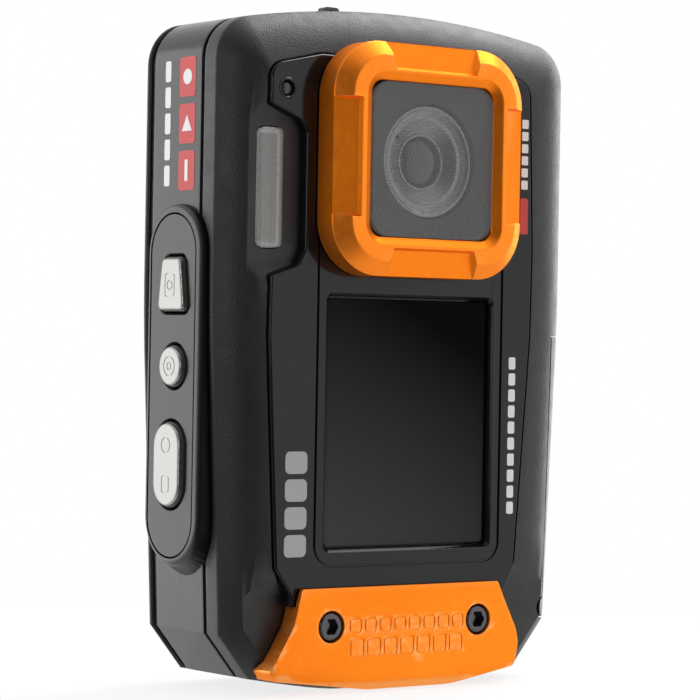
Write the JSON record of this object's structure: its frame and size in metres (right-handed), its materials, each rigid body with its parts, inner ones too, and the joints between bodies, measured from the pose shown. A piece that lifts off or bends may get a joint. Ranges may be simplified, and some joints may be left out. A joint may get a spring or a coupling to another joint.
{
  "type": "waterproof compact camera",
  "caption": "Shockproof waterproof compact digital camera with a second screen beside its lens, raised side buttons and a hinged battery door",
  "frame": {"origin": "the middle of the flat on the grip end that the camera stands on", "axes": "+Z along the length from the grip end to the lens end, -Y out of the lens and front screen, -X out of the shutter button side"},
  "size_m": [0.0689, 0.0316, 0.1042],
  "materials": {
    "shell_grain": "soft-touch black with a fine leather grain",
    "inlay_gloss": "polished black",
    "band_grey": "semi-gloss dark grey",
    "orange_metal": "satin metallic orange",
    "button_silver": "satin silver",
    "rubber_black": "matte",
    "clear_glass": "clear",
    "tinted_glass": "polished, near black",
    "dark_metal": "black anodised",
    "steel": "plain",
    "brass": "plain brass",
    "board_green": "solder mask",
    "inner_plastic": "moulded",
    "key_black": "satin moulded",
    "cell_grey": "wrapped"
  },
  "bodies": {
    "case": {"front_shell": "shell_grain", "front_inlay": "inlay_gloss", "side_band": "band_grey", "rear_cover": "shell_grain", "case_seal": "rubber_black", "case_screw_1": "steel", "case_screw_2": "steel", "case_screw_3": "steel", "case_screw_4": "steel", "lens_bezel": "orange_metal", "lens_window": "clear_glass", "lens_mask": "rubber_black", "lens_barrel": "dark_metal", "lens_front_element": "clear_glass", "lens_mount": "inner_plastic", "image_sensor": "dark_metal", "sensor_board": "board_green", "front_lcd_window": "tinted_glass", "front_lcd_module": "dark_metal", "flash_window": "clear_glass", "flash_reflector": "steel", "flash_tube": "clear_glass", "timer_lamp": "clear_glass", "end_plate": "orange_metal", "end_plate_screw_left": "dark_metal", "end_plate_screw_right": "dark_metal", "pod_panel": "band_grey", "key_membrane": "rubber_black", "key_board": "board_green", "door_hinge_pin": "steel", "port_frame": "inner_plastic", "battery": "cell_grey", "battery_holder": "inner_plastic", "memory_card": "key_black", "card_socket": "steel", "usb_socket": "steel", "main_board": "board_green", "flash_capacitor": "cell_grey", "speaker": "inner_plastic", "microphone": "steel", "rear_lcd_window": "tinted_glass", "rear_lcd_module": "dark_metal", "rear_key_board": "board_green", "tripod_nut": "brass", "strap_lug": "steel"},
    "shutter": {"shutter_button": "button_silver"},
    "power": {"power_button": "button_silver"},
    "mode": {"mode_button": "button_silver"},
    "door": {"battery_door": "shell_grain", "door_seal": "rubber_black"},
    "latch": {"door_latch": "key_black"},
    "right_key": {"right_key": "key_black"},
    "up_key": {"up_key": "key_black"},
    "left_key": {"left_key": "key_black"},
    "down_key": {"down_key": "key_black"},
    "ok_key": {"ok_key": "key_black"},
    "menu_key": {"menu_key": "key_black"},
    "play_key": {"play_key": "key_black"}
  },
  "joints": [
    {"name": "shutter_press", "type": "slide", "parent": "case", "child": "shutter", "axis": [1, 0, 0], "range_m": [0, 0.0005], "stiffness_N_per_m": 600},
    {"name": "power_press", "type": "slide", "parent": "case", "child": "power", "axis": [1, 0, 0], "range_m": [0, 0.0005], "stiffness_N_per_m": 600},
    {"name": "mode_press", "type": "slide", "parent": "case", "child": "mode", "axis": [1, 0, 0], "range_m": [0, 0.0005], "stiffness_N_per_m": 600},
    {"name": "right_key_press", "type": "slide", "parent": "case", "child": "right_key", "axis": [0, -1, 0], "range_m": [0, 0.0004], "stiffness_N_per_m": 500},
    {"name": "up_key_press", "type": "slide", "parent": "case", "child": "up_key", "axis": [0, -1, 0], "range_m": [0, 0.0004], "stiffness_N_per_m": 500},
    {"name": "left_key_press", "type": "slide", "parent": "case", "child": "left_key", "axis": [0, -1, 0], "range_m": [0, 0.0004], "stiffness_N_per_m": 500},
    {"name": "down_key_press", "type": "slide", "parent": "case", "child": "down_key", "axis": [0, -1, 0], "range_m": [0, 0.0004], "stiffness_N_per_m": 500},
    {"name": "ok_key_press", "type": "slide", "parent": "case", "child": "ok_key", "axis": [0, -1, 0], "range_m": [0, 0.0004], "stiffness_N_per_m": 500},
    {"name": "menu_key_press", "type": "slide", "parent": "case", "child": "menu_key", "axis": [0, -1, 0], "range_m": [0, 0.0004], "stiffness_N_per_m": 500},
    {"name": "play_key_press", "type": "slide", "parent": "case", "child": "play_key", "axis": [0, -1, 0], "range_m": [0, 0.0004], "stiffness_N_per_m": 500},
    {"name": "door_swing", "type": "hinge", "parent": "case", "child": "door", "pos_m": [0.0298, 0.0042, 0.011], "axis": [0, 1, 0], "range_deg": [0, 95]},
    {"name": "latch_slide", "type": "slide", "parent": "door", "child": "latch", "axis": [0, 0, 1], "range_m": [0, 0.003]}
  ]
}
